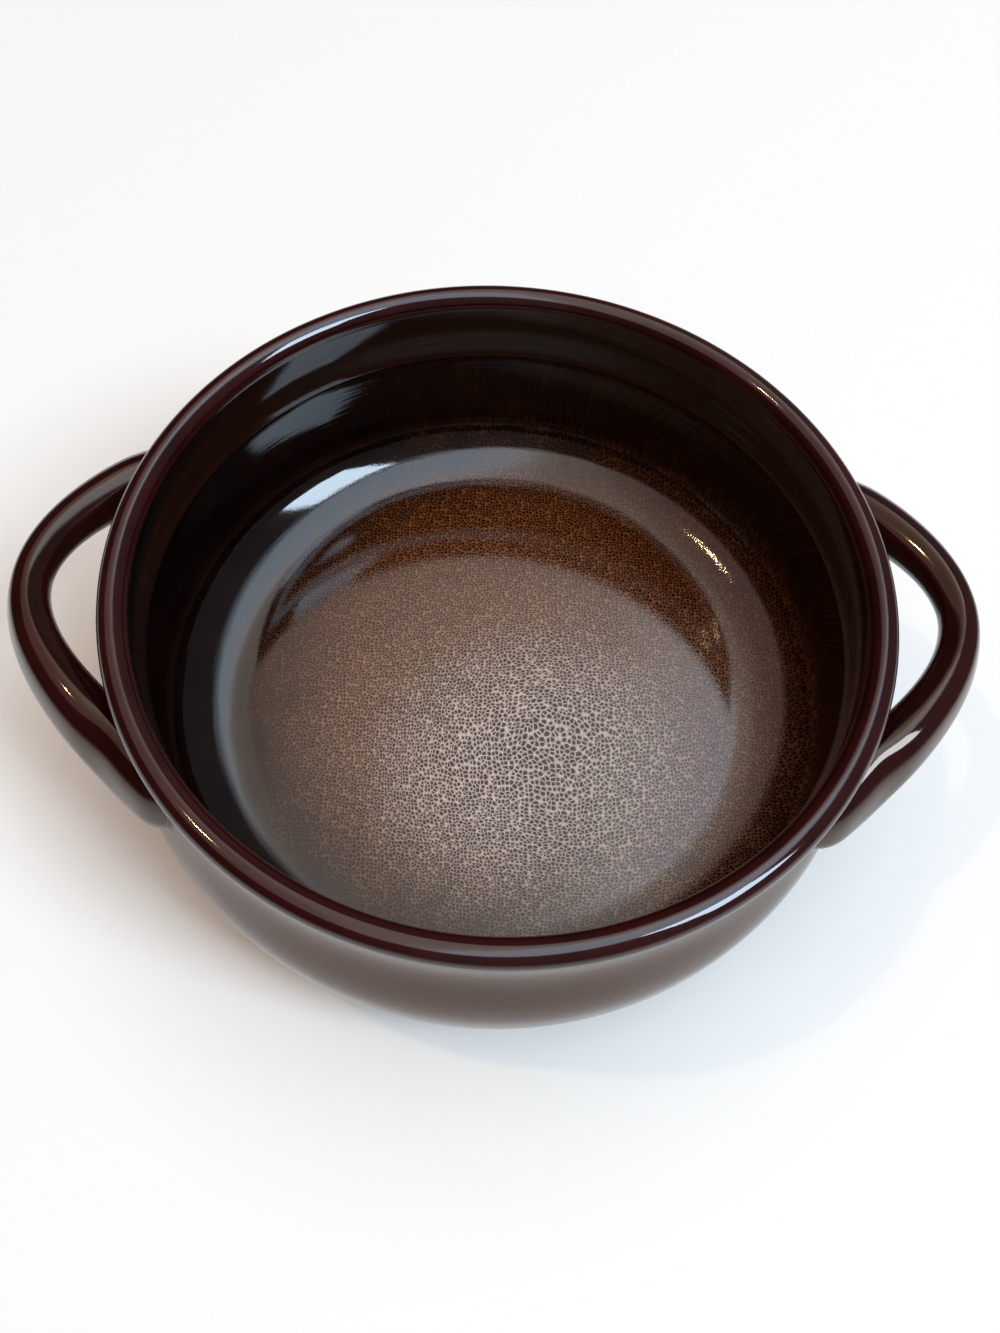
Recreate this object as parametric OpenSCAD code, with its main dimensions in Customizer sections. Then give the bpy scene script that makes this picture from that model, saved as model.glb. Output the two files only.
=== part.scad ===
// French onion soup crock: a round stoneware bowl with a rolled lip and a stepped collar
// inside the mouth, and two loop handles luted with slip to the wall under the lip.
// The origin is on the table, on the axis of the bowl. +Z is up and the handles lie along X.

/* [Bowl] */
// Outer diameter of the rolled lip
rim_d = 156; // [140:1:180]
// Height from the table to the top of the lip
bowl_h = 65; // [60:1:80]
// How far the belly stands out past the neck under the lip
belly_bulge = 4.2; // [3:0.1:8]
// Height of the widest place of the belly above the table
belly_h = 29; // [25:1:33]
// Thickness of the wall at the belly
wall_t = 4.8; // [3.5:0.1:6]
// Thickness of the floor at its edge
floor_t = 6.5; // [5:0.5:9]
// How much lower the middle of the floor lies than its edge
floor_dish = 0.8; // [0.2:0.1:2]
// Width of the round corner between the floor and the wall, inside
floor_corner = 19.5; // [12:0.5:24]
// Height of the same corner
floor_corner_h = 12; // [8:0.5:13]

/* [Lip] */
// Thickness of the rolled lip
lip_t = 5.7; // [4:0.1:7]
// How far the lip stands out past the neck
lip_overhang = 2; // [1.5:0.1:3]
// Radius of the fillet where the lip meets the neck
neck_fillet = 1.2; // [0.5:0.1:2]
// Height of the upright neck under that fillet
neck_h = 7; // [4:0.5:9]

/* [Collar] */
// Depth of the collar's lower edge below the top of the lip
collar_h = 17.6; // [14:0.2:22]
// How far the collar's lower edge stands in from the outside of the lip
collar_edge_in = 5.8; // [5:0.1:8]
// How far the hollow of the collar lies in from the outside of the lip
collar_hollow_in = 4.9; // [4:0.1:5]
// Radius of the collar's lower edge
collar_edge_round = 0.8; // [0.4:0.1:1.5]

/* [Foot] */
// Outer diameter of the foot ring
foot_d = 108; // [90:1:120]
// Width of the foot ring
foot_w = 5.5; // [4:0.1:8]
// Height of the foot ring
foot_h = 4; // [3.5:0.1:6]
// Radius of the edges that the crock stands on
foot_round = 1; // [0.5:0.1:1.4]
// Radius of the corners where the foot ring joins the bowl
foot_fillet = 1.6; // [0.5:0.1:2]

/* [Handles] */
// How far the handles stand out past the lip
handle_out = 21.3; // [16:0.1:30]
// Depth of the middle of a handle below the top of the lip
handle_drop = 12.6; // [11:0.1:18]
// Depth of the ends of a handle below the top of the lip
end_drop = 22.4; // [18:0.1:28]
// Angle round the bowl from the middle of a handle to each end
end_angle = 37.4; // [30:0.1:45]
// How far inside the neck the middle line of a handle ends
end_depth = 3; // [1:0.1:4]
// Thickness of a handle at its middle, away from the bowl
grip_w = 8; // [6:0.1:11]
// Height of a handle at its middle
grip_h = 9.6; // [6:0.1:11]
// Lean of a handle at its middle, with its lower edge out
grip_lean = 25; // [0:1:35]
// Thickness of a handle where it widens into the end pads
pad_w = 14.2; // [12:0.1:18]
// Height of the end pads
pad_h = 19.2; // [14:0.1:24]
// Lean of the end pads, with their lower edge out
pad_lean = 13.3; // [0:0.1:25]
// Depth of the thumb mark on each end pad
thumb_mark = 0.9; // [0.3:0.1:1.5]

/* [Slip] */
// Thickness of the slip between each end pad and the wall
slip_t = 0.4; // [0.3:0.1:0.8]
// How far the slip was squeezed out past the edge of the pads
slip_edge = 0.5; // [0.2:0.1:1]
// Clearance between the slip and what it joins, on each side
slip_gap = 0.02; // [0.02:0.01:0.06]

/* [Hidden] */

// Radii and heights that follow from the sizes above
rim_r = rim_d / 2;
bead_r = lip_t / 2;
bead_x = rim_r - bead_r;
bead_z = bowl_h - bead_r;
neck_r = rim_r - lip_overhang;
belly_r = neck_r + belly_bulge;
inner_r = belly_r - wall_t;
floor_r = inner_r - floor_corner;
floor_z = foot_h + floor_t;
inner_h = floor_z + floor_corner_h;
foot_r = foot_d / 2;
foot_in_r = foot_r - foot_w;
spring_r = foot_r + foot_fillet;
edge_r = rim_r - collar_edge_in;
hollow_r = rim_r - collar_hollow_in;
edge_z = bowl_h - collar_h;
edge_tip_r = edge_r + collar_edge_round;

// The fillet under the lip touches both the neck and the round of the lip
fillet_x = neck_r + neck_fillet;
fillet_dx = fillet_x - bead_x;
fillet_dz = sqrt(pow(bead_r + neck_fillet, 2) - pow(fillet_dx, 2));
fillet_z = bead_z - fillet_dz;
fillet_turn = atan2(fillet_dz, fillet_dx);

// The round of the lip ends at this angle, just inside the mouth
lip_end_angle = 200;
lip_end = [bead_x + bead_r * cos(lip_end_angle), bead_z + bead_r * sin(lip_end_angle)];
// Height of the collar's hollow, as a share of the way from the lip down to the edge
hollow_share = 0.45;
hollow_z = lip_end.y + (edge_z - lip_end.y) * hollow_share;
// Power of the belly's lower curve, which is a little fuller than an ellipse
belly_power = 2.4;
// Points of an outline that lie nearer than this are one point
same_place = 0.001;

// Number of steps along the small rounds, the long curves and round the axis
round_steps = 6;
curve_steps = 18;
axis_steps = 180;

// A cosine or sine made squarer by a power, where 2 keeps it and more is squarer
function squarer(x, power) = sign(x) * pow(abs(x), 2 / power);

// Points of an arc round the centre c, from the angle a to the angle b
function arc(c, rx, rz, a, b, steps, power = 2) =
    [for (i = [0:steps]) let (t = a + (b - a) * i / steps)
        c + [rx * squarer(cos(t), power), rz * squarer(sin(t), power)]];

// Points of a smooth step from p to q that starts and ends upright
function ease(p, q, steps) =
    [for (i = [0:steps]) let (s = i / steps)
        [p.x + (q.x - p.x) * (1 - cos(180 * s)) / 2, p.y + (q.y - p.y) * s]];

// Points of a curve from p to q that only ends upright
function swell(p, q, steps) =
    [for (i = [0:steps]) let (s = i / steps) [p.x + (q.x - p.x) * sin(90 * s), p.y + (q.y - p.y) * s]];

// Outside of the wall, from the foot ring up to the top of the lip
wall_outline = concat(
    arc([spring_r, belly_h], belly_r - spring_r, belly_h - foot_h, -90, 0, curve_steps, belly_power),
    ease([belly_r, belly_h], [neck_r, fillet_z - neck_h], curve_steps),
    arc([fillet_x, fillet_z], neck_fillet, neck_fillet, 180, 180 - fillet_turn, round_steps),
    arc([bead_x, bead_z], bead_r, bead_r, -fillet_turn, 90, curve_steps));

// Foot ring, from the axis under the floor to the outside
foot_outline = concat(
    [[0, foot_h]],
    arc([foot_in_r - foot_fillet, foot_h - foot_fillet], foot_fillet, foot_fillet, 90, 0, round_steps),
    arc([foot_in_r + foot_round, foot_round], foot_round, foot_round, 180, 270, round_steps),
    arc([foot_r - foot_round, foot_round], foot_round, foot_round, 270, 360, round_steps),
    arc([spring_r, foot_h - foot_fillet], foot_fillet, foot_fillet, 180, 90, round_steps));

// Inside, from the top of the lip down the collar and the belly to the middle of the floor
inside_outline = concat(
    arc([bead_x, bead_z], bead_r, bead_r, 90, lip_end_angle, curve_steps),
    swell(lip_end, [hollow_r, hollow_z], round_steps),
    ease([hollow_r, hollow_z], [edge_r, edge_z], curve_steps),
    arc([edge_tip_r, edge_z], collar_edge_round, collar_edge_round, 180, 270, round_steps),
    arc([edge_tip_r, inner_h], inner_r - edge_tip_r, edge_z - collar_edge_round - inner_h,
        90, 0, curve_steps),
    arc([floor_r, inner_h], floor_corner, floor_corner_h, 0, -90, curve_steps),
    [for (i = [1:round_steps]) let (s = 1 - i / round_steps)
        [floor_r * s, floor_z - floor_dish * (1 - s * s)]]);

// Two neighbouring stretches share their end point, which is kept once
function without_doubles(p) =
    [for (i = [0:len(p) - 1]) if (i == 0 || norm(p[i] - p[i - 1]) > same_place) p[i]];

module turned(outline) {
    rotate_extrude($fn = axis_steps) polygon(without_doubles(outline));
}

// The bowl's outer form as one full body, with its side grown by the thickness grow
module outer_form(grow) {
    side = [for (p = wall_outline) p + [grow, 0]];
    turned(concat([[0, foot_h]], side, [[0, bowl_h]]));
}

module bowl() {
    color("#3a1a18") turned(concat(foot_outline, wall_outline, inside_outline));
}

// Power of a handle's rounded cross-section, where 2 is an ellipse and more is squarer
section_power = 2.4;
// Rings along a handle, and points round each ring
rings = 72;
ring_points = 20;
// How far the leaning cross-section at the middle reaches out from the handle's middle line
grip_reach = max([for (k = [0:ring_points - 1]) let (a = 360 * k / ring_points)
    grip_w / 2 * squarer(cos(a), section_power) * cos(grip_lean)
    - grip_h / 2 * squarer(sin(a), section_power) * sin(grip_lean)]);

// A handle's middle line runs from one end, at -1, through its middle, at 0, to the other, at 1
seat_r = neck_r - end_depth;
end_x = seat_r * cos(end_angle);
end_y = seat_r * sin(end_angle);
grip_x = rim_r + handle_out - grip_reach;
// Powers that shape the bow of the loop, its fall to the ends and its widening
bow_power = 1.91;
fall_power = 2.3;
widen_power = 1.66;
// Where the round of each end begins, as a share of the way from the middle
end_round_share = 0.9;
// Place and length of the thumb mark, as shares of the way from the middle
thumb_place_share = 0.76;
thumb_length_share = 0.08;
// How far above the outward direction the thumb mark lies round the cross-section
thumb_angle = 35;

// The slip needs only the stretch past this ring from the middle
slip_ring = 12;

function middle(t) = let (m = abs(t))
    [end_x + (grip_x - end_x) * (1 - pow(m, bow_power)),
     end_y * t,
     bowl_h - handle_drop - (end_drop - handle_drop) * pow(m, fall_power)];

// Level direction away from the loop's inside, square to the middle line
function outward(t) =
    let (fall = (grip_x - end_x) * bow_power * pow(abs(t), bow_power - 1) * sign(t))
    [end_y, fall, 0] / norm([end_y, fall]);

// Size of the cross-section, which widens to the ends and closes in a round
function closing(t) = sqrt(1 - pow(max(0, abs(t) - end_round_share) / (1 - end_round_share), 2));
function widened(from, to, t) = (from + (to - from) * pow(abs(t), widen_power)) / 2 * closing(t);
function thumb(t, a) =
    thumb_mark * exp(-pow((abs(t) - thumb_place_share) / thumb_length_share, 2))
    * pow(max(0, cos(a - thumb_angle)), 2);

function ring(t, grow) =
    let (lean = grip_lean + (pad_lean - grip_lean) * pow(abs(t), widen_power),
        out = outward(t), up = [0, 0, 1])
    [for (k = [0:ring_points - 1])
        let (a = 360 * k / ring_points,
            w = (widened(grip_w, pad_w, t) + grow) * squarer(cos(a), section_power) - thumb(t, a),
            h = (widened(grip_h, pad_h, t) + grow) * squarer(sin(a), section_power))
        middle(t) + out * (w * cos(lean) - h * sin(lean)) + up * (w * sin(lean) + h * cos(lean))];

function place(i) = 2 * i / rings - 1;

// The uncut handle from one ring to another, closed by a fan to the middle line at each end.
// Its skin lies further out by the thickness grow.
module strap(first, last, grow) {
    from = max(first, 1);
    to = min(last, rings - 1);
    n = ring_points;
    count = to - from + 1;
    loop_points = [for (i = [from:to]) each ring(place(i), grow)];
    start = count * n;
    stop = start + 1;
    faces = concat(
        [for (i = [0:count - 2], k = [0:n - 1])
            let (a = i * n + k, b = i * n + (k + 1) % n) each [[a, a + n, b], [b, a + n, b + n]]],
        [for (k = [0:n - 1]) [start, k, (k + 1) % n]],
        [for (k = [0:n - 1]) let (a = (count - 1) * n) [stop, a + (k + 1) % n, a + k]]);
    polyhedron(concat(loop_points, [middle(place(first)), middle(place(last))]), faces);
}

// The handle on the +X side, seated on its slip
module handle() {
    color("#42201d") difference() {
        strap(0, rings, 0);
        outer_form(slip_t);
    }
}

// One patch of slip of the handle on the +X side, between the rings first and last
module slip(first, last) {
    color("#24100f") intersection() {
        strap(first, last, slip_edge);
        difference() {
            outer_form(slip_t - slip_gap);
            outer_form(slip_gap);
        }
    }
}

module right_handle() {
    handle();
}

module left_handle() {
    rotate(180) handle();
}

module right_handle_front_slip() {
    slip(0, rings / 2 - slip_ring);
}

module right_handle_back_slip() {
    slip(rings / 2 + slip_ring, rings);
}

module left_handle_front_slip() {
    rotate(180) slip(rings / 2 + slip_ring, rings);
}

module left_handle_back_slip() {
    rotate(180) slip(0, rings / 2 - slip_ring);
}

bowl();
left_handle();
right_handle();
left_handle_front_slip();
left_handle_back_slip();
right_handle_front_slip();
right_handle_back_slip();
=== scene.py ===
import math

import bpy
import numpy as np
from mathutils import Matrix, Vector


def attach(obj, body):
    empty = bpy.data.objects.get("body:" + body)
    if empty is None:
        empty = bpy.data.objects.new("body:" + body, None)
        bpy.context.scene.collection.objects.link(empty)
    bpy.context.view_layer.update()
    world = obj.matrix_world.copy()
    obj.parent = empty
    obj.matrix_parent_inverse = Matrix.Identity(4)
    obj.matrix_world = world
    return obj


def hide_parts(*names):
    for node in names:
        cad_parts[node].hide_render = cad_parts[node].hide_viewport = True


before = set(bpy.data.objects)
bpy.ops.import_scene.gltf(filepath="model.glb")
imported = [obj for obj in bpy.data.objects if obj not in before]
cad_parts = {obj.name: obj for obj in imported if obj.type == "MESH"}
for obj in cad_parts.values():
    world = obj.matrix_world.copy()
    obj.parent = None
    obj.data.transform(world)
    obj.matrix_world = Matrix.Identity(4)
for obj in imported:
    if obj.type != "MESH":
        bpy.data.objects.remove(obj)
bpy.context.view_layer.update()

MM = 0.001

# Sizes of the bowl, in millimetres. They are the solid's own, but for the bulge of the belly:
# it is a hair less, so that this finer mesh stays inside the box of the solids.
RIM_R = 78.0
BOWL_H = 65.0
BELLY_BULGE = 4.17
BELLY_H = 29.0
BELLY_POWER = 2.4
WALL_T = 4.8
FLOOR_T = 6.5
FLOOR_DISH = 0.8
CORNER_W = 19.5
CORNER_H = 12.0
BEAD_R = 2.85
LIP_OVERHANG = 2.0
LIP_END_ANGLE = 200
NECK_FILLET = 1.2
NECK_H = 7.0
COLLAR_H = 17.6
COLLAR_EDGE_IN = 5.8
COLLAR_HOLLOW_IN = 4.9
COLLAR_ROUND = 0.8
COLLAR_HOLLOW_SHARE = 0.45
FOOT_R = 54.0
FOOT_W = 5.5
FOOT_H = 4.0
FOOT_ROUND = 1.0
FOOT_FILLET = 1.6

# Steps along each stretch of the bowl's outline, and turns round its axis
FLAT_STEPS = 11
ROUND_STEPS = 8
BELLY_STEPS = 36
NECK_STEPS = 30
BEAD_STEPS = 26
SWELL_STEPS = 10
HOLLOW_STEPS = 20
EDGE_STEPS = 10
INNER_STEPS = 30
CORNER_STEPS = 36
FLOOR_STEPS = 23
TURNS = 288

# Sizes of a handle and its pads, in millimetres, with angles in degrees
HANDLE_OUT = 21.3
HANDLE_DROP = 12.6
END_DROP = 22.4
END_ANGLE = 37.4
END_DEPTH = 3.0
GRIP_W = 8.0
GRIP_H = 9.6
GRIP_LEAN = 25.0
PAD_W = 14.2
PAD_H = 19.2
PAD_LEAN = 13.3
BOW_POWER = 1.91
FALL_POWER = 2.3
WIDEN_POWER = 1.66
SECTION_POWER = 2.4
END_ROUND_SHARE = 0.9
THUMB_MARK = 0.9
THUMB_PLACE_SHARE = 0.76
THUMB_LENGTH_SHARE = 0.08
THUMB_ANGLE = 35.0

# Faint ridges that the potter's fingers left along a pulled handle
RIDGES = 7
RIDGE_DEPTH = 0.1
RIDGE_TURN = 28.0

# How deep the skin of a pad reaches into the wall that it is luted to
SEAT_DEPTH = 0.6
# Rings along a handle, and points round it
HANDLE_RINGS = 168
HANDLE_POINTS = 64

# The slip that was smoothed into the corner between a pad and the wall
# It spreads this far along both, its core and its edges lie this deep in them, and its face is hollow
SLIP_W = 0.9
SLIP_CORE = 0.35
SLIP_SINK = 0.05
SLIP_HOLLOW_SHARE = 0.12
# Points round a pad, and steps across the face
SLIP_POINTS = 96
SLIP_STEPS = 6

# Glaze runs as thin as it can on edges that bulge with a radius under this, in millimetres
RUNS_THIN = 2.6
# How much thinner it lies on the corners of a handle's section than on its flats, and how sharply
CORNER_THIN = 0.6
CORNER_POWER = 1.5

BEAD_X = RIM_R - BEAD_R
BEAD_Z = BOWL_H - BEAD_R
NECK_R = RIM_R - LIP_OVERHANG
BELLY_R = NECK_R + BELLY_BULGE
INNER_R = BELLY_R - WALL_T
FLOOR_R = INNER_R - CORNER_W
FLOOR_Z = FOOT_H + FLOOR_T
INNER_Z = FLOOR_Z + CORNER_H
EDGE_R = RIM_R - COLLAR_EDGE_IN
EDGE_Z = BOWL_H - COLLAR_H
EDGE_TIP_R = EDGE_R + COLLAR_ROUND
HOLLOW_R = RIM_R - COLLAR_HOLLOW_IN

# The fillet under the lip touches both the neck and the round of the lip
FILLET_X = NECK_R + NECK_FILLET
FILLET_TURN = math.degrees(math.acos((FILLET_X - BEAD_X) / (BEAD_R + NECK_FILLET)))
FILLET_Z = BEAD_Z - (BEAD_R + NECK_FILLET) * math.sin(math.radians(FILLET_TURN))


# Outlines
def squarer(x, power):
    """A cosine or sine made squarer by a power, where 2 keeps it."""
    return np.sign(x) * np.abs(x) ** (2 / power)


def arc(x, z, rx, rz, start, stop, steps, power=2):
    """Points of an arc round x and z, from one angle to another."""
    t = np.radians(np.linspace(start, stop, steps + 1))
    return np.column_stack([x + rx * squarer(np.cos(t), power), z + rz * squarer(np.sin(t), power)])


def ease(p, q, steps):
    """A smooth step from p to q that starts and ends upright."""
    s = np.linspace(0, 1, steps + 1)
    return np.column_stack([p[0] + (q[0] - p[0]) * (1 - np.cos(np.pi * s)) / 2, p[1] + (q[1] - p[1]) * s])


def swell(p, q, steps):
    """A curve from p to q that only ends upright."""
    s = np.linspace(0, 1, steps + 1)
    return np.column_stack([p[0] + (q[0] - p[0]) * np.sin(np.pi / 2 * s), p[1] + (q[1] - p[1]) * s])


def outer_outline():
    """From the foot ring up the belly and the neck to the top of the lip."""
    spring = FOOT_R + FOOT_FILLET
    return np.concatenate([
        arc(spring, BELLY_H, BELLY_R - spring, BELLY_H - FOOT_H, -90, 0, BELLY_STEPS, BELLY_POWER),
        ease((BELLY_R, BELLY_H), (NECK_R, FILLET_Z - NECK_H), NECK_STEPS)[1:],
        arc(FILLET_X, FILLET_Z, NECK_FILLET, NECK_FILLET, 180, 180 - FILLET_TURN, ROUND_STEPS)[1:],
        arc(BEAD_X, BEAD_Z, BEAD_R, BEAD_R, -FILLET_TURN, 90, BEAD_STEPS)[1:]])


def foot_outline():
    """From the middle of the underside round the foot ring."""
    inner = FOOT_R - FOOT_W
    corner_z = FOOT_H - FOOT_FILLET
    flat = np.linspace(0, inner - FOOT_FILLET, FLAT_STEPS + 1)[:-1]
    return np.concatenate([
        np.column_stack([flat, np.full(FLAT_STEPS, FOOT_H)]),
        arc(inner - FOOT_FILLET, corner_z, FOOT_FILLET, FOOT_FILLET, 90, 0, ROUND_STEPS),
        arc(inner + FOOT_ROUND, FOOT_ROUND, FOOT_ROUND, FOOT_ROUND, 180, 270, ROUND_STEPS),
        arc(FOOT_R - FOOT_ROUND, FOOT_ROUND, FOOT_ROUND, FOOT_ROUND, 270, 360, ROUND_STEPS),
        arc(FOOT_R + FOOT_FILLET, corner_z, FOOT_FILLET, FOOT_FILLET, 180, 90, ROUND_STEPS)[:-1]])


def inner_outline():
    """From the top of the lip down the collar and the belly to the middle of the floor."""
    bead = arc(BEAD_X, BEAD_Z, BEAD_R, BEAD_R, 90, LIP_END_ANGLE, BEAD_STEPS)
    hollow_z = bead[-1][1] + (EDGE_Z - bead[-1][1]) * COLLAR_HOLLOW_SHARE
    dome_h = EDGE_Z - COLLAR_ROUND - INNER_Z
    out = 1 - np.linspace(0, 1, FLOOR_STEPS + 1)[1:]
    return np.concatenate([
        bead[1:],
        swell(bead[-1], (HOLLOW_R, hollow_z), SWELL_STEPS)[1:],
        ease((HOLLOW_R, hollow_z), (EDGE_R, EDGE_Z), HOLLOW_STEPS)[1:],
        arc(EDGE_TIP_R, EDGE_Z, COLLAR_ROUND, COLLAR_ROUND, 180, 270, EDGE_STEPS)[1:],
        arc(EDGE_TIP_R, INNER_Z, INNER_R - EDGE_TIP_R, dome_h, 90, 0, INNER_STEPS)[1:],
        arc(FLOOR_R, INNER_Z, CORNER_W, CORNER_H, 0, -90, CORNER_STEPS)[1:],
        np.column_stack([FLOOR_R * out, FLOOR_Z - FLOOR_DISH * (1 - out * out)])])


# The bowl
def mesh_piece(name, points, faces, thin, glazes=None):
    """A smooth mesh object. Its attribute thin says how thin the glaze ran at each point, from 0 to 1."""
    mesh = bpy.data.meshes.new(name)
    mesh.from_pydata([tuple(p) for p in points], [], faces)
    mesh.polygons.foreach_set("use_smooth", [True] * len(mesh.polygons))
    if glazes is not None:
        mesh.polygons.foreach_set("material_index", glazes)
    mesh.attributes.new("thin", "FLOAT", "POINT").data.foreach_set("value", [float(t) for t in thin])
    mesh.update()
    piece = bpy.data.objects.new(name, mesh)
    bpy.context.scene.collection.objects.link(piece)
    return piece


# Where the bend of an outline is worked out, a step counts as at least this long, in millimetres
LEAST_STEP = 0.05


def thinness(line):
    """How thin glaze runs along an outline: 1 on edges that bulge sharply, 0 on flats and in hollows."""
    step = np.diff(line, axis=0)
    size = np.hypot(step[:, 0], step[:, 1])
    heading = np.unwrap(np.arctan2(step[:, 1], step[:, 0]))
    bend = np.diff(heading) / np.maximum((size[1:] + size[:-1]) / 2, LEAST_STEP)
    bend = np.concatenate([[0], bend, [0]])
    return np.clip(bend * RUNS_THIN, 0, 1)


# Places of the bowl's glazes among its materials
OUTSIDE, INSIDE, BARE, LIP = range(4)
# Rings of the collar's rounded edge that are glazed like the lip
EDGE_RINGS = 4


def bowl_piece():
    """The thrown bowl: one closed skin from the middle of the foot round to the middle of the floor."""
    foot, outer, inner = foot_outline(), outer_outline(), inner_outline()
    line = np.concatenate([foot, outer, inner])
    rings = line[1:-1]
    bulge = thinness(line)
    lip_top = len(foot) + len(outer)
    bands = [(len(foot) - ROUND_STEPS - 1, BARE),
             (lip_top - BEAD_STEPS - 1, OUTSIDE),
             (lip_top + BEAD_STEPS + SWELL_STEPS + HOLLOW_STEPS + EDGE_RINGS, LIP),
             (len(rings), INSIDE)]
    points = [(0, 0, line[0, 1] * MM)]
    for r, z in rings:
        for k in range(TURNS):
            a = 2 * math.pi * k / TURNS
            points.append((r * math.cos(a) * MM, r * math.sin(a) * MM, z * MM))
    points.append((0, 0, line[-1, 1] * MM))
    faces = [(0, 1 + (k + 1) % TURNS, 1 + k) for k in range(TURNS)]
    glazes = [BARE] * TURNS
    for i in range(len(rings) - 1):
        for k in range(TURNS):
            a, b = 1 + i * TURNS + k, 1 + i * TURNS + (k + 1) % TURNS
            faces.append((a, b, b + TURNS, a + TURNS))
        glazes += [next(glaze for end, glaze in bands if i < end)] * TURNS
    last, base = len(points) - 1, len(points) - 1 - TURNS
    faces += [(base + k, base + (k + 1) % TURNS, last) for k in range(TURNS)]
    glazes += [INSIDE] * TURNS
    thin = [bulge[0]] + [b for b in bulge[1:-1] for _ in range(TURNS)] + [bulge[-1]]
    return mesh_piece("glazed_bowl", points, faces, thin, glazes)


# The handles
OUTER = outer_outline()
SEAT_R = NECK_R - END_DEPTH
END_X = SEAT_R * math.cos(math.radians(END_ANGLE))
END_Y = SEAT_R * math.sin(math.radians(END_ANGLE))
# How far the leaning section at the middle reaches out from the handle's middle line
ROUND = np.radians(np.arange(360))
LEAN = math.radians(GRIP_LEAN)
GRIP_REACH = float(max(GRIP_W / 2 * squarer(np.cos(ROUND), SECTION_POWER) * math.cos(LEAN)
                       - GRIP_H / 2 * squarer(np.sin(ROUND), SECTION_POWER) * math.sin(LEAN)))
GRIP_X = RIM_R + HANDLE_OUT - GRIP_REACH


def wall_r(z):
    """Radius of the outside of the wall at the height z."""
    return np.interp(z, OUTER[:, 1], OUTER[:, 0])


def strap_point(t, a):
    """A point of a handle's skin, with t from -1 to 1 along the loop and a round it in degrees."""
    m = abs(t)
    fall = (GRIP_X - END_X) * BOW_POWER * m ** (BOW_POWER - 1) * math.copysign(1, t)
    size = math.hypot(END_Y, fall)
    out = np.array([END_Y / size, fall / size, 0])
    up = np.array([0, 0, 1.0])
    middle = np.array([END_X + (GRIP_X - END_X) * (1 - m ** BOW_POWER), END_Y * t,
                       BOWL_H - HANDLE_DROP - (END_DROP - HANDLE_DROP) * m ** FALL_POWER])
    close = math.sqrt(max(0, 1 - (max(0, m - END_ROUND_SHARE) / (1 - END_ROUND_SHARE)) ** 2))
    widen = m ** WIDEN_POWER
    lean = math.radians(GRIP_LEAN + (PAD_LEAN - GRIP_LEAN) * widen)
    ridges = RIDGE_DEPTH * (1 - math.cos(math.radians(RIDGES * (a + RIDGE_TURN)))) / 2
    thumb = THUMB_MARK * math.exp(-((m - THUMB_PLACE_SHARE) / THUMB_LENGTH_SHARE) ** 2)
    thumb *= max(0, math.cos(math.radians(a - THUMB_ANGLE))) ** 2
    c, s = math.cos(math.radians(a)), math.sin(math.radians(a))
    half_w = (GRIP_W + (PAD_W - GRIP_W) * widen) / 2 * close
    half_h = (GRIP_H + (PAD_H - GRIP_H) * widen) / 2 * close
    w = half_w * float(squarer(c, SECTION_POWER)) - thumb - ridges * c
    h = half_h * float(squarer(s, SECTION_POWER)) - ridges * s
    outward = w * math.cos(lean) - h * math.sin(lean)
    upward = w * math.sin(lean) + h * math.cos(lean)
    return middle + out * outward + up * upward


def seated(p):
    """A point of the skin that would reach into the wall is kept just under the wall's surface."""
    r = math.hypot(p[0], p[1])
    least = wall_r(p[2]) - SEAT_DEPTH
    if r < least:
        p = np.array([p[0] * least / r, p[1] * least / r, p[2]])
    return p


def turned_to(side, points):
    """The points for the right handle, at side 1, or turned half round for the left one, at -1."""
    return [(p[0] * side, p[1] * side, p[2]) for p in points]


def handle_piece(name, side):
    """A pulled loop handle, closed at both ends inside the skin of the wall."""
    n, count = HANDLE_POINTS, HANDLE_RINGS - 1
    angles = [360 * k / n for k in range(n)]
    points = [seated(strap_point(2 * i / HANDLE_RINGS - 1, a)) * MM
              for i in range(1, HANDLE_RINGS) for a in angles]
    points += [seated(strap_point(-1, 0)) * MM, seated(strap_point(1, 0)) * MM]
    faces = []
    for i in range(count - 1):
        for k in range(n):
            a, b = i * n + k, i * n + (k + 1) % n
            faces.append((a, a + n, b + n, b))
    tail, tip, base = count * n, count * n + 1, (count - 1) * n
    for k in range(n):
        faces.append((tail, k, (k + 1) % n))
        faces.append((tip, base + (k + 1) % n, base + k))
    corners = [abs(math.sin(2 * math.radians(a))) ** CORNER_POWER for a in angles]
    thin = [CORNER_THIN * corner + 1 - CORNER_THIN for corner in corners]
    return mesh_piece(name, turned_to(side, points), faces, thin * count + [0, 0])


# The slip round the pads

# The seam is looked for from here outwards, as a share of the loop, in these steps and halvings
SEAM_FROM_SHARE = 0.3
SEAM_STEPS = 60
SEAM_HALVINGS = 30
# Small moves along the loop, round it and up the wall, to find which way a surface faces
NEAR_SHARE = 0.004
NEAR_ANGLE = 2
NEAR_Z = 0.2


def seam_place(a, end):
    """Where the handle's skin, at the angle a round it, meets the wall near the end -1 or 1."""
    def depth(m):
        p = strap_point(end * m, a)
        return math.hypot(p[0], p[1]) - wall_r(p[2])
    out, within = SEAM_FROM_SHARE, 1.0
    for m in np.linspace(SEAM_FROM_SHARE, 1, SEAM_STEPS):
        if depth(m) < 0:
            within = m
            break
        out = m
    for _ in range(SEAM_HALVINGS):
        half = (out + within) / 2
        if depth(half) > 0:
            out = half
        else:
            within = half
    return (out + within) / 2


def unit(v):
    """The direction of v."""
    return v / np.linalg.norm(v)


def facing(v, way):
    """The direction v, or its opposite if that is the one that faces the given way."""
    return -v if np.dot(v, way) < 0 else v


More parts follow.
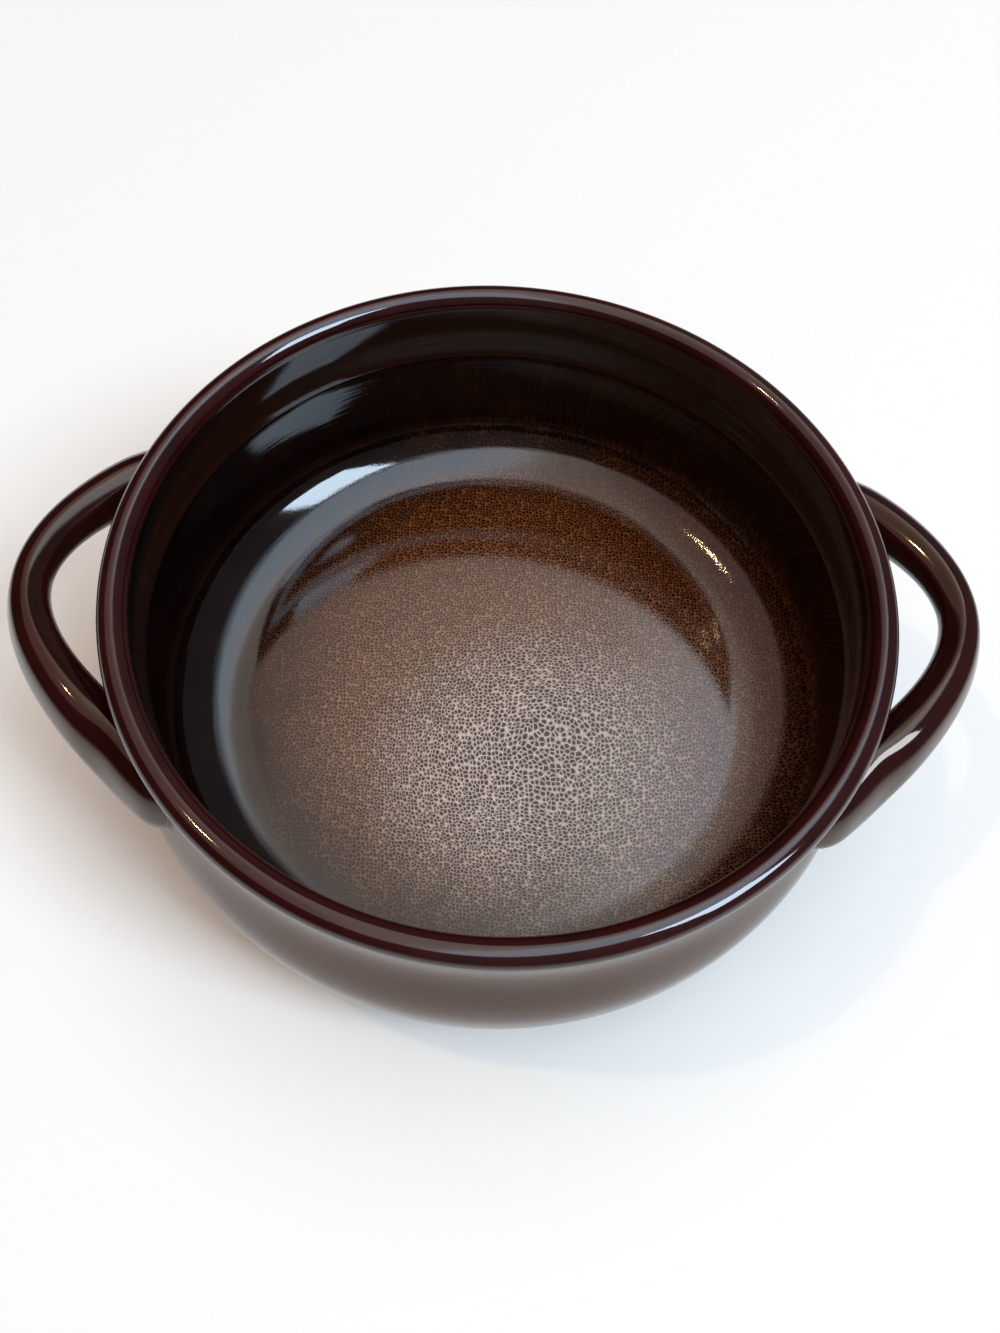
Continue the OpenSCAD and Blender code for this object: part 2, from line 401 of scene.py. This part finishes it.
def slip_piece(name, side, end):
    """Slip pooled in the corner between the pad of a handle and the wall, as a closed ring."""
    angles = [360 * k / SLIP_POINTS for k in range(SLIP_POINTS)]
    found = [seam_place(a, end) for a in angles]
    seam = [np.mean([found[(k + j) % SLIP_POINTS] for j in (-1, 0, 1)]) for k in range(SLIP_POINTS)]
    spots = [strap_point(end * m, a) for m, a in zip(seam, angles)]
    points, faces = [], []
    for k, (p, m, a) in enumerate(zip(spots, seam, angles)):
        along = unit(spots[(k + 1) % SLIP_POINTS] - spots[k - 1])
        slope = (wall_r(p[2] + NEAR_Z) - wall_r(p[2] - NEAR_Z)) / (2 * NEAR_Z)
        r = math.hypot(p[0], p[1])
        wall_normal = unit(np.array([p[0] / r, p[1] / r, -slope]))
        down_loop = strap_point(end * (m + NEAR_SHARE), a) - strap_point(end * (m - NEAR_SHARE), a)
        round_loop = strap_point(end * m, a + NEAR_ANGLE) - strap_point(end * m, a - NEAR_ANGLE)
        skin_normal = facing(unit(np.cross(down_loop, round_loop)), p - strap_point(end * m, a + 180))
        on_wall = facing(np.cross(along, wall_normal), skin_normal)
        on_skin = facing(np.cross(along, skin_normal), wall_normal)
        high, low = p + on_skin * SLIP_W, p + on_wall * SLIP_W
        corner = p + (high + low - 2 * p) * SLIP_HOLLOW_SHARE
        line = []
        for j in range(SLIP_STEPS + 1):
            s = j / SLIP_STEPS
            line.append((1 - s) ** 2 * high + 2 * s * (1 - s) * corner + s * s * low)
        line[0] -= skin_normal * SLIP_SINK
        line[-1] -= wall_normal * SLIP_SINK
        line.append(p - (skin_normal + wall_normal) * SLIP_CORE)
        points += [q * MM for q in line]
    n = SLIP_STEPS + 2
    for k in range(SLIP_POINTS):
        here, ahead = k * n, (k + 1) % SLIP_POINTS * n
        for j in range(n):
            faces.append((here + j, here + (j + 1) % n, ahead + (j + 1) % n, ahead + j))
    return mesh_piece(name, turned_to(side, points), faces, [0] * len(points))


# Colours and nodes

# A ramp's new stop starts here, and then moves to its own place
MIDWAY = 0.5


def linear(text):
    """An sRGB hex colour as a linear RGBA tuple."""
    values = [int(text[i:i + 2], 16) / 255 for i in (1, 3, 5)]
    return tuple(v / 12.92 if v <= 0.04045 else ((v + 0.055) / 1.055) ** 2.4 for v in values) + (1.0,)


def add(tree, kind, settings=None, inputs=None, stops=None):
    """Adds a node with its settings, its values or links, and a ramp's stops, and returns its outputs."""
    node = tree.nodes.new(kind)
    for name, value in (settings or {}).items():
        setattr(node, name, value)
    for name, value in (inputs or {}).items():
        if isinstance(value, bpy.types.NodeSocket):
            tree.links.new(value, node.inputs[name])
        else:
            node.inputs[name].default_value = value
    if stops:
        for _ in stops[2:]:
            node.color_ramp.elements.new(MIDWAY)
        for element, (place, colour) in zip(node.color_ramp.elements, stops):
            element.position = place
            element.color = linear(colour)
    return node.outputs


def new_material(name):
    """A new material, its empty tree of nodes, and the place on the piece in millimetres."""
    material = bpy.data.materials.new(name)
    material.use_nodes = True
    tree = material.node_tree
    tree.nodes.clear()
    place = add(tree, "ShaderNodeTexCoord")["Object"]
    mm = add(tree, "ShaderNodeVectorMath", {"operation": "SCALE"}, {0: place, "Scale": 1 / MM})[0]
    return material, tree, mm


# Oxblood glaze, with widths and depths in millimetres
GLAZE_IOR = 1.6
GLAZE_ROUGHNESS = 0.07
# On an edge it ran thinner in patches, and it turns from the thick colour to the thin one over this range
PATCH_W = 11.11
THIN_FROM = 0.05
THIN_FULL = 0.5
# Its skin has slow waves, with a fine orange peel on them that is a small share of their depth
WAVE_W = 14.29
WAVE_DEPTH = 0.12
PEEL_W = 1.111
PEEL_SHARE = 0.03


def oxblood_glaze(name, thick, thin, sheen):
    """Stoneware glaze that was poured on and fired glossy: near black where it lies thick, and
    brown-red on the edges where it ran thin. Its skin is slightly wavy, so that reflections bend,
    and sheen is the colour of what it reflects face on."""
    material, tree, mm = new_material(name)
    ran_thin = add(tree, "ShaderNodeAttribute", {"attribute_name": "thin"})["Fac"]
    patches = add(tree, "ShaderNodeTexNoise", None, {"Vector": mm, "Scale": 1 / PATCH_W, "Detail": 4})["Fac"]
    patchy = add(tree, "ShaderNodeMath", {"operation": "MULTIPLY"}, {0: ran_thin, 1: patches})[0]
    colour = add(tree, "ShaderNodeValToRGB", None, {"Fac": patchy},
                 [(THIN_FROM, thick), (THIN_FULL, thin)])["Color"]
    wave = add(tree, "ShaderNodeTexNoise", None, {"Vector": mm, "Scale": 1 / WAVE_W, "Detail": 2})["Fac"]
    peel = add(tree, "ShaderNodeTexNoise", None, {"Vector": mm, "Scale": 1 / PEEL_W, "Detail": 1})["Fac"]
    height = add(tree, "ShaderNodeMath", {"operation": "MULTIPLY_ADD"}, {0: peel, 1: PEEL_SHARE, 2: wave})[0]
    skin = add(tree, "ShaderNodeBump", None,
               {"Strength": 1.0, "Distance": WAVE_DEPTH * MM, "Height": height})[0]
    shader = add(tree, "ShaderNodeBsdfPrincipled", None,
                 {"Base Color": colour, "Roughness": GLAZE_ROUGHNESS, "IOR": GLAZE_IOR,
                  "Specular Tint": linear(sheen), "Normal": skin})[0]
    add(tree, "ShaderNodeOutputMaterial", None, {"Surface": shader})
    return material


# The glaze inside, with widths, depths and places from the bowl's axis in millimetres

# The cells of its net are about a millimetre wide, which still shows, so they are drawn at that pitch
CELL_PITCH = 0.95
CELL_SCATTER = 0.85
# Round one place they are coarser, and beyond the reach of it finer, as a count of cells per pitch
COARSE_CELLS = (14, -13, 0)
COARSE_REACH = 52
COARSE_COUNT = 0.74
FINE_COUNT = 1.08
# Slow bends carry the net sideways
BEND_W = 22.22
BEND_BY = (5, 5, 5)
# Shares of the pitch: how unlike the pits are, half a line's width, and where the crust round a pit lies
PIT_LUCK = 0.36
LINE_HALF_W = 0.2
CRUST_FROM = 0.50
CRUST_FULL = 0.90
# Crystals fill a pool with a ragged edge, thin out between two radii, and stop where the wall climbs
CRYSTAL_POOL = (11, 5, 0)
POOL_FULL = 54
POOL_END = 90
RAG_W = 8.333
RAG_BY = 22
CLIMB_FULL = 17
CLIMB_END = 32
# Their lines are cream near one place and turn brown away from it
CREAM_POOL = (12, -22, 0)
CREAM_FULL = 12
CREAM_END = 74
LINE_COLOURS = [(0.0, "#77421f"), (0.5, "#9a6d52"), (1.0, "#ccb6a8")]
PIT_COLOUR = "#220c05"
# Up the wall the glaze is nearly black, in slow clouds
CLOUD_W = 14.29
WALL_COLOURS = [(0.3, "#080303"), (0.7, "#140605")]
# Specks dim or brighten the lines
SPECK_W = 1.111
SPECK_FROM = 0.3
SPECK_FULL = 0.65
SPECK_DIM = 0.45
SPECK_BRIGHT = 1.15
# Roughness of the bare glaze and of the crystals
SMOOTH_ROUGHNESS = 0.06
CRYSTAL_ROUGHNESS = 0.08
# How grainy its skin is, from the middle at 0 to the wall at 1: most of all on a ring near the wall
GRAIN_W = 0.3846
GRAIN_DEPTH = 0.012
GRAIN_STOPS = [(0.0, "#808080"), (0.80, "#808080"), (0.88, "#d0d0d0"), (0.92, "#d0d0d0"), (0.98, "#000000")]
# Faint rings from throwing, long round the bowl and close up the wall
THROWN_LONG = 33.33
THROWN_CLOSE = 1.667
THROWN_DEPTH = 0.06


def tan_cell_glaze(name):
    """The same glaze inside, where it pooled and cooled slowly: a fine net of tan crystals round dark
    pits, creamy and coarse near the middle, brown and fine outward, gone before the wall."""
    material, tree, mm = new_material(name)

    # The net
    flat = add(tree, "ShaderNodeVectorMath", {"operation": "MULTIPLY"}, {0: mm, 1: (1, 1, 0)})[0]
    bend = add(tree, "ShaderNodeTexNoise", None, {"Vector": mm, "Scale": 1 / BEND_W, "Detail": 2})["Color"]
    from_coarse = add(tree, "ShaderNodeVectorMath", {"operation": "SUBTRACT"}, {0: flat, 1: COARSE_CELLS})[0]
    off_coarse = add(tree, "ShaderNodeVectorMath", {"operation": "LENGTH"}, {0: from_coarse})["Value"]
    count = add(tree, "ShaderNodeMapRange", {"interpolation_type": "SMOOTHSTEP"},
                {"Value": off_coarse, "From Max": COARSE_REACH,
                 "To Min": COARSE_COUNT, "To Max": FINE_COUNT})[0]
    spread = add(tree, "ShaderNodeVectorMath", {"operation": "SCALE"}, {0: from_coarse, "Scale": count})[0]
    bent = add(tree, "ShaderNodeVectorMath", {"operation": "MULTIPLY_ADD"},
               {0: bend, 1: BEND_BY, 2: spread})[0]
    net_place = {"Vector": bent, "Scale": 1 / CELL_PITCH, "Randomness": CELL_SCATTER}
    cells = add(tree, "ShaderNodeTexVoronoi", {"voronoi_dimensions": "2D"}, net_place)
    luck = add(tree, "ShaderNodeSeparateColor", None, {"Color": cells["Color"]})["Red"]
    off_pit = add(tree, "ShaderNodeMath", {"operation": "MULTIPLY_ADD"},
                  {0: luck, 1: PIT_LUCK, 2: cells["Distance"]})[0]
    off_line = add(tree, "ShaderNodeTexVoronoi",
                   {"voronoi_dimensions": "2D", "feature": "DISTANCE_TO_EDGE"}, net_place)["Distance"]
    lines = add(tree, "ShaderNodeMapRange", {"interpolation_type": "SMOOTHSTEP"},
                {"Value": off_line, "From Max": LINE_HALF_W, "To Min": 1.0, "To Max": 0.0})[0]
    crust = add(tree, "ShaderNodeMapRange", {"interpolation_type": "SMOOTHSTEP"},
                {"Value": off_pit, "From Min": CRUST_FROM, "From Max": CRUST_FULL})[0]
    net = add(tree, "ShaderNodeMath", {"operation": "MAXIMUM"}, {0: lines, 1: crust})[0]

    # Where the crystals are
    ragged = add(tree, "ShaderNodeTexNoise", None,
                 {"Vector": mm, "Scale": 1 / RAG_W, "Detail": 4, "Roughness": 0.65})["Fac"]
    off_pool = add(tree, "ShaderNodeVectorMath", {"operation": "DISTANCE"},
                   {0: flat, 1: CRYSTAL_POOL})["Value"]
    reach = add(tree, "ShaderNodeMath", {"operation": "MULTIPLY_ADD"}, {0: ragged, 1: RAG_BY, 2: off_pool})[0]
    in_pool = add(tree, "ShaderNodeMapRange", {"interpolation_type": "SMOOTHSTEP"},
                  {"Value": reach, "From Min": POOL_FULL, "From Max": POOL_END,
                   "To Min": 1.0, "To Max": 0.0})[0]
    up = add(tree, "ShaderNodeVectorMath", {"operation": "DOT_PRODUCT"}, {0: mm, 1: (0, 0, 1)})["Value"]
    below = add(tree, "ShaderNodeMapRange", {"interpolation_type": "SMOOTHSTEP"},
                {"Value": up, "From Min": CLIMB_FULL, "From Max": CLIMB_END,
                 "To Min": 1.0, "To Max": 0.0})[0]
    crystals = add(tree, "ShaderNodeMath", {"operation": "MULTIPLY"}, {0: in_pool, 1: below})[0]

    # Colours
    off_cream = add(tree, "ShaderNodeVectorMath", {"operation": "DISTANCE"},
                    {0: flat, 1: CREAM_POOL})["Value"]
    creamy = add(tree, "ShaderNodeMapRange", {"interpolation_type": "SMOOTHSTEP"},
                 {"Value": off_cream, "From Min": CREAM_FULL, "From Max": CREAM_END,
                  "To Min": 1.0, "To Max": 0.0})[0]
    line = add(tree, "ShaderNodeValToRGB", None, {"Fac": creamy}, LINE_COLOURS)["Color"]
    cloud = add(tree, "ShaderNodeTexNoise", None, {"Vector": mm, "Scale": 1 / CLOUD_W, "Detail": 3})["Fac"]
    wall = add(tree, "ShaderNodeValToRGB", None, {"Fac": cloud}, WALL_COLOURS)["Color"]
    pit = add(tree, "ShaderNodeMix", {"data_type": "RGBA"},
              {"Factor": crystals, 6: wall, 7: linear(PIT_COLOUR)})[2]
    speck = add(tree, "ShaderNodeTexNoise", None,
                {"Vector": mm, "Scale": 1 / SPECK_W, "Detail": 3, "Roughness": 0.7})["Fac"]
    bright = add(tree, "ShaderNodeMapRange", None,
                 {"Value": speck, "From Min": SPECK_FROM, "From Max": SPECK_FULL,
                  "To Min": SPECK_DIM, "To Max": SPECK_BRIGHT})[0]
    net = add(tree, "ShaderNodeMath", {"operation": "MULTIPLY"}, {0: net, 1: bright})[0]
    amount = add(tree, "ShaderNodeMath", {"operation": "MULTIPLY", "use_clamp": True},
                 {0: net, 1: crystals})[0]
    colour = add(tree, "ShaderNodeMix", {"data_type": "RGBA"}, {"Factor": amount, 6: pit, 7: line})[2]

    # Skin
    rough = add(tree, "ShaderNodeMapRange", None,
                {"Value": crystals, "To Min": SMOOTH_ROUGHNESS, "To Max": CRYSTAL_ROUGHNESS})[0]
    radius = add(tree, "ShaderNodeVectorMath", {"operation": "LENGTH"}, {0: flat})["Value"]
    outward = add(tree, "ShaderNodeMath", {"operation": "DIVIDE"}, {0: radius, 1: INNER_R})[0]
    grainy = add(tree, "ShaderNodeValToRGB", None, {"Fac": outward}, GRAIN_STOPS)["Color"]
    grain = add(tree, "ShaderNodeTexNoise", None, {"Vector": mm, "Scale": 1 / GRAIN_W, "Detail": 1})["Fac"]
    bumps = add(tree, "ShaderNodeMath", None, {0: amount, 1: grain})[0]
    bumps = add(tree, "ShaderNodeMath", {"operation": "MULTIPLY"}, {0: bumps, 1: grainy})[0]
    fine = add(tree, "ShaderNodeBump", None,
               {"Strength": 1.0, "Distance": GRAIN_DEPTH * MM, "Height": bumps})[0]
    thrown = add(tree, "ShaderNodeVectorMath", {"operation": "MULTIPLY"},
                 {0: mm, 1: (1 / THROWN_LONG, 1 / THROWN_LONG, 1 / THROWN_CLOSE)})[0]
    rings = add(tree, "ShaderNodeTexNoise", None, {"Vector": thrown, "Scale": 1.0, "Detail": 3})["Fac"]
    skin = add(tree, "ShaderNodeBump", None,
               {"Strength": 1.0, "Distance": THROWN_DEPTH * MM, "Height": rings, "Normal": fine})[0]
    shader = add(tree, "ShaderNodeBsdfPrincipled", None,
                 {"Base Color": colour, "Roughness": rough, "IOR": GLAZE_IOR, "Normal": skin})[0]
    add(tree, "ShaderNodeOutputMaterial", None, {"Surface": shader})
    return material


# Bare clay, with the width and depth of its grit in millimetres
GRIT_W = 0.625
GRIT_DEPTH = 0.08
GRIT_STRENGTH = 0.7
CLAY_ROUGHNESS = 0.85
CLAY_IOR = 1.5
CLAY_COLOURS = [(0.34, "#6e5746"), (0.45, "#9c8570"), (0.7, "#b39c86")]


def bare_stoneware(name):
    """The foot was wiped clean of glaze, so the buff clay shows there, matt and finely speckled."""
    material, tree, mm = new_material(name)
    grit = add(tree, "ShaderNodeTexNoise", None,
               {"Vector": mm, "Scale": 1 / GRIT_W, "Detail": 5, "Roughness": 0.7})["Fac"]
    colour = add(tree, "ShaderNodeValToRGB", None, {"Fac": grit}, CLAY_COLOURS)["Color"]
    skin = add(tree, "ShaderNodeBump", None,
               {"Strength": GRIT_STRENGTH, "Distance": GRIT_DEPTH * MM, "Height": grit})[0]
    shader = add(tree, "ShaderNodeBsdfPrincipled", None,
                 {"Base Color": colour, "Roughness": CLAY_ROUGHNESS, "IOR": CLAY_IOR, "Normal": skin})[0]
    add(tree, "ShaderNodeOutputMaterial", None, {"Surface": shader})
    return material


# The crock
outside_glaze = oxblood_glaze("oxblood_glaze_outside", "#170a07", "#3a1010", "#ffb48c")
handle_glaze = oxblood_glaze("oxblood_glaze_on_handles", "#0e0404", "#2c0b0b", "#ffe6d4")
lip_glaze = oxblood_glaze("oxblood_glaze_on_the_lip", "#0e0404", "#300c0c", "#ffffff")
inside_glaze = tan_cell_glaze("oxblood_glaze_with_tan_cells")
bare_clay = bare_stoneware("bare_buff_stoneware")

bowl = bowl_piece()
for material in (outside_glaze, inside_glaze, bare_clay, lip_glaze):
    bowl.data.materials.append(material)
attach(bowl, "root")
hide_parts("bowl")

for side, word in ((1, "right"), (-1, "left")):
    handle = handle_piece(f"{word}_pulled_handle", side)
    handle.data.materials.append(handle_glaze)
    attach(handle, "root")
    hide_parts(f"{word}_handle")
    for end in (-1, 1):
        where = "front" if end * side < 0 else "back"
        slip = slip_piece(f"{word}_{where}_slip_fillet", side, end)
        slip.data.materials.append(handle_glaze)
        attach(slip, "root")
        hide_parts(f"{word}_handle_{where}_slip")

# The table, in millimetres: a matt pale sheet with a round pool of light painted into its colour, and painted
# grey shade beyond it
TABLE_REACH = 4000
PAINTED_POOL_OF_LIGHT = (0, 120, 0)
LIT_FULL = 280
LIT_END = 600
# Painted light and shade: pale inside the painted pool of light, grey where the painted shade beyond it is
# full
TABLE_PAINTED_LIGHT_COLOURS = [(0.0, "#fdf7ee"), (1.0, "#6f6e6f")]
TABLE_ROUGHNESS = 0.9

reach = TABLE_REACH * MM
table_mesh = bpy.data.meshes.new("table")
table_mesh.from_pydata([(-reach, -reach, 0), (reach, -reach, 0), (reach, reach, 0), (-reach, reach, 0)], [],
                       [(0, 1, 2, 3)])
table = bpy.data.objects.new("table", table_mesh)
bpy.context.scene.collection.objects.link(table)
table_paint, tree, mm = new_material("matt_pale_sweep_with_painted_pool_of_light")
off_light = add(tree, "ShaderNodeVectorMath", {"operation": "DISTANCE"}, {0: mm, 1: PAINTED_POOL_OF_LIGHT})["Value"]
dim = add(tree, "ShaderNodeMapRange", None,
          {"Value": off_light, "From Min": LIT_FULL, "From Max": LIT_END})[0]
# The sheet's colour carries the painted pool of light and the painted grey shade round it
painted_light_on_table = add(tree, "ShaderNodeValToRGB", None, {"Fac": dim}, TABLE_PAINTED_LIGHT_COLOURS)["Color"]
shader = add(tree, "ShaderNodeBsdfPrincipled", None, {"Base Color": painted_light_on_table, "Roughness": TABLE_ROUGHNESS})[0]
add(tree, "ShaderNodeOutputMaterial", None, {"Surface": shader})
table.data.materials.append(table_paint)

# The room that the glaze reflects: dark walls and a bright ceiling, warm on the left, cool on the right
CEILING_WAY = (-0.18, 0.06, 1.0)
CEILING_STOPS = [(0.0, "#443b37"), (0.755, "#4b4541"), (0.80, "#b4b4b4"), (0.83, "#ffffff")]
COOL_WAY = (1.0, -0.25, 0)
COOL_SPAN = 0.5
COOL_STOPS = [(0.00, "#85716c"), (0.24, "#998980"), (0.30, "#aaa099"),
              (0.41, "#b3aaa3"), (0.48, "#c1bebc"), (0.53, "#e7ebef"),
              (0.56, "#e7ebf7"), (0.62, "#deefff"), (1.00, "#d5e7fb")]
ROOM_STRENGTH = 3.0

world = bpy.data.worlds.new("studio")
bpy.context.scene.world = world
world.use_nodes = True
tree = world.node_tree
tree.nodes.clear()
way = add(tree, "ShaderNodeTexCoord")["Generated"]
high = add(tree, "ShaderNodeVectorMath", {"operation": "DOT_PRODUCT"}, {0: way, 1: CEILING_WAY})["Value"]
ceiling = add(tree, "ShaderNodeValToRGB", None, {"Fac": high}, CEILING_STOPS)["Color"]
cool = add(tree, "ShaderNodeVectorMath", {"operation": "DOT_PRODUCT"}, {0: way, 1: COOL_WAY})["Value"]
coolness = add(tree, "ShaderNodeMapRange", None,
               {"Value": cool, "From Min": -COOL_SPAN, "From Max": COOL_SPAN})[0]
tint = add(tree, "ShaderNodeValToRGB", None, {"Fac": coolness}, COOL_STOPS)["Color"]
room = add(tree, "ShaderNodeMix", {"data_type": "RGBA", "blend_type": "MULTIPLY"},
           {"Factor": 1.0, 6: ceiling, 7: tint})[2]
shader = add(tree, "ShaderNodeBackground", None, {"Color": room, "Strength": ROOM_STRENGTH})[0]
add(tree, "ShaderNodeOutputWorld", None, {"Surface": shader})

# Lamps, with sizes and distances in metres
LAMP_AWAY = 3.0


def lamp(name, azimuth, elevation, width, height, watts, colour):
    """A soft lamp that hangs in a direction seen from the crock, in degrees, and faces it."""
    light = bpy.data.lights.new(name, "AREA")
    light.shape = "RECTANGLE"
    light.size, light.size_y = width, height
    light.energy = watts
    light.color = linear(colour)[:3]
    holder = bpy.data.objects.new(name, light)
    bpy.context.scene.collection.objects.link(holder)
    a, e = math.radians(azimuth), math.radians(elevation)
    way = Vector((math.cos(a) * math.cos(e), math.sin(a) * math.cos(e), math.sin(e)))
    holder.rotation_mode = "QUATERNION"
    holder.location = way * LAMP_AWAY
    holder.rotation_quaternion = way.to_track_quat("Z", "Y")


lamp("window", azimuth=-27, elevation=50, width=0.95, height=1.3, watts=64, colour="#d2e8fc")
lamp("warm_lamp", azimuth=171, elevation=63, width=0.08, height=0.06, watts=8, colour="#ffd9a0")

# The camera stands where the photograph was taken from: in front, above and a little to the left

# Its place over the lip and the point of the lip's plane that it aims at, in millimetres
STAND_BACK = 120.7979
STAND_HIGH = 178.2117
AIM_X = 0.943
AIM_Y = -22.8286
# How it is rolled about its view and turned round the crock, in radians
ROLL = 0.0939
TURN = 0.05597
# Its focal length and the photograph's height, both in pixels
FOCAL_PIXELS = 1100.0
IMAGE_HEIGHT = 1333.0
# The sensor's longer side, and the nearest thing that the camera sees, in millimetres
SENSOR = 36.0
NEAREST = 10

camera = bpy.data.cameras.new("photo_view")
view = bpy.data.objects.new("photo_view", camera)
bpy.context.scene.collection.objects.link(view)
stand = Vector((0, -STAND_BACK, STAND_HIGH))
look = (Vector((AIM_X, AIM_Y, 0)) - stand).normalized()
right = look.cross(Vector((0, 0, 1))).normalized()
upward = right.cross(look)
across = right * math.cos(ROLL) + upward * math.sin(ROLL)
upright = upward * math.cos(ROLL) - right * math.sin(ROLL)
turn = Matrix.Rotation(-TURN, 3, "Z")
stand, look, across, upright = (turn @ v for v in (stand, look, across, upright))
stand = (stand + Vector((0, 0, BOWL_H))) * MM
view.matrix_world = Matrix(((across.x, upright.x, -look.x, stand.x),
                            (across.y, upright.y, -look.y, stand.y),
                            (across.z, upright.z, -look.z, stand.z),
                            (0, 0, 0, 1)))
camera.sensor_width = SENSOR
camera.sensor_fit = "AUTO"
camera.lens = FOCAL_PIXELS * SENSOR / IMAGE_HEIGHT
camera.clip_start = NEAREST * MM
bpy.context.scene.camera = view
bpy.context.scene.view_settings.view_transform = "Standard"

bpy.context.view_layer.update()
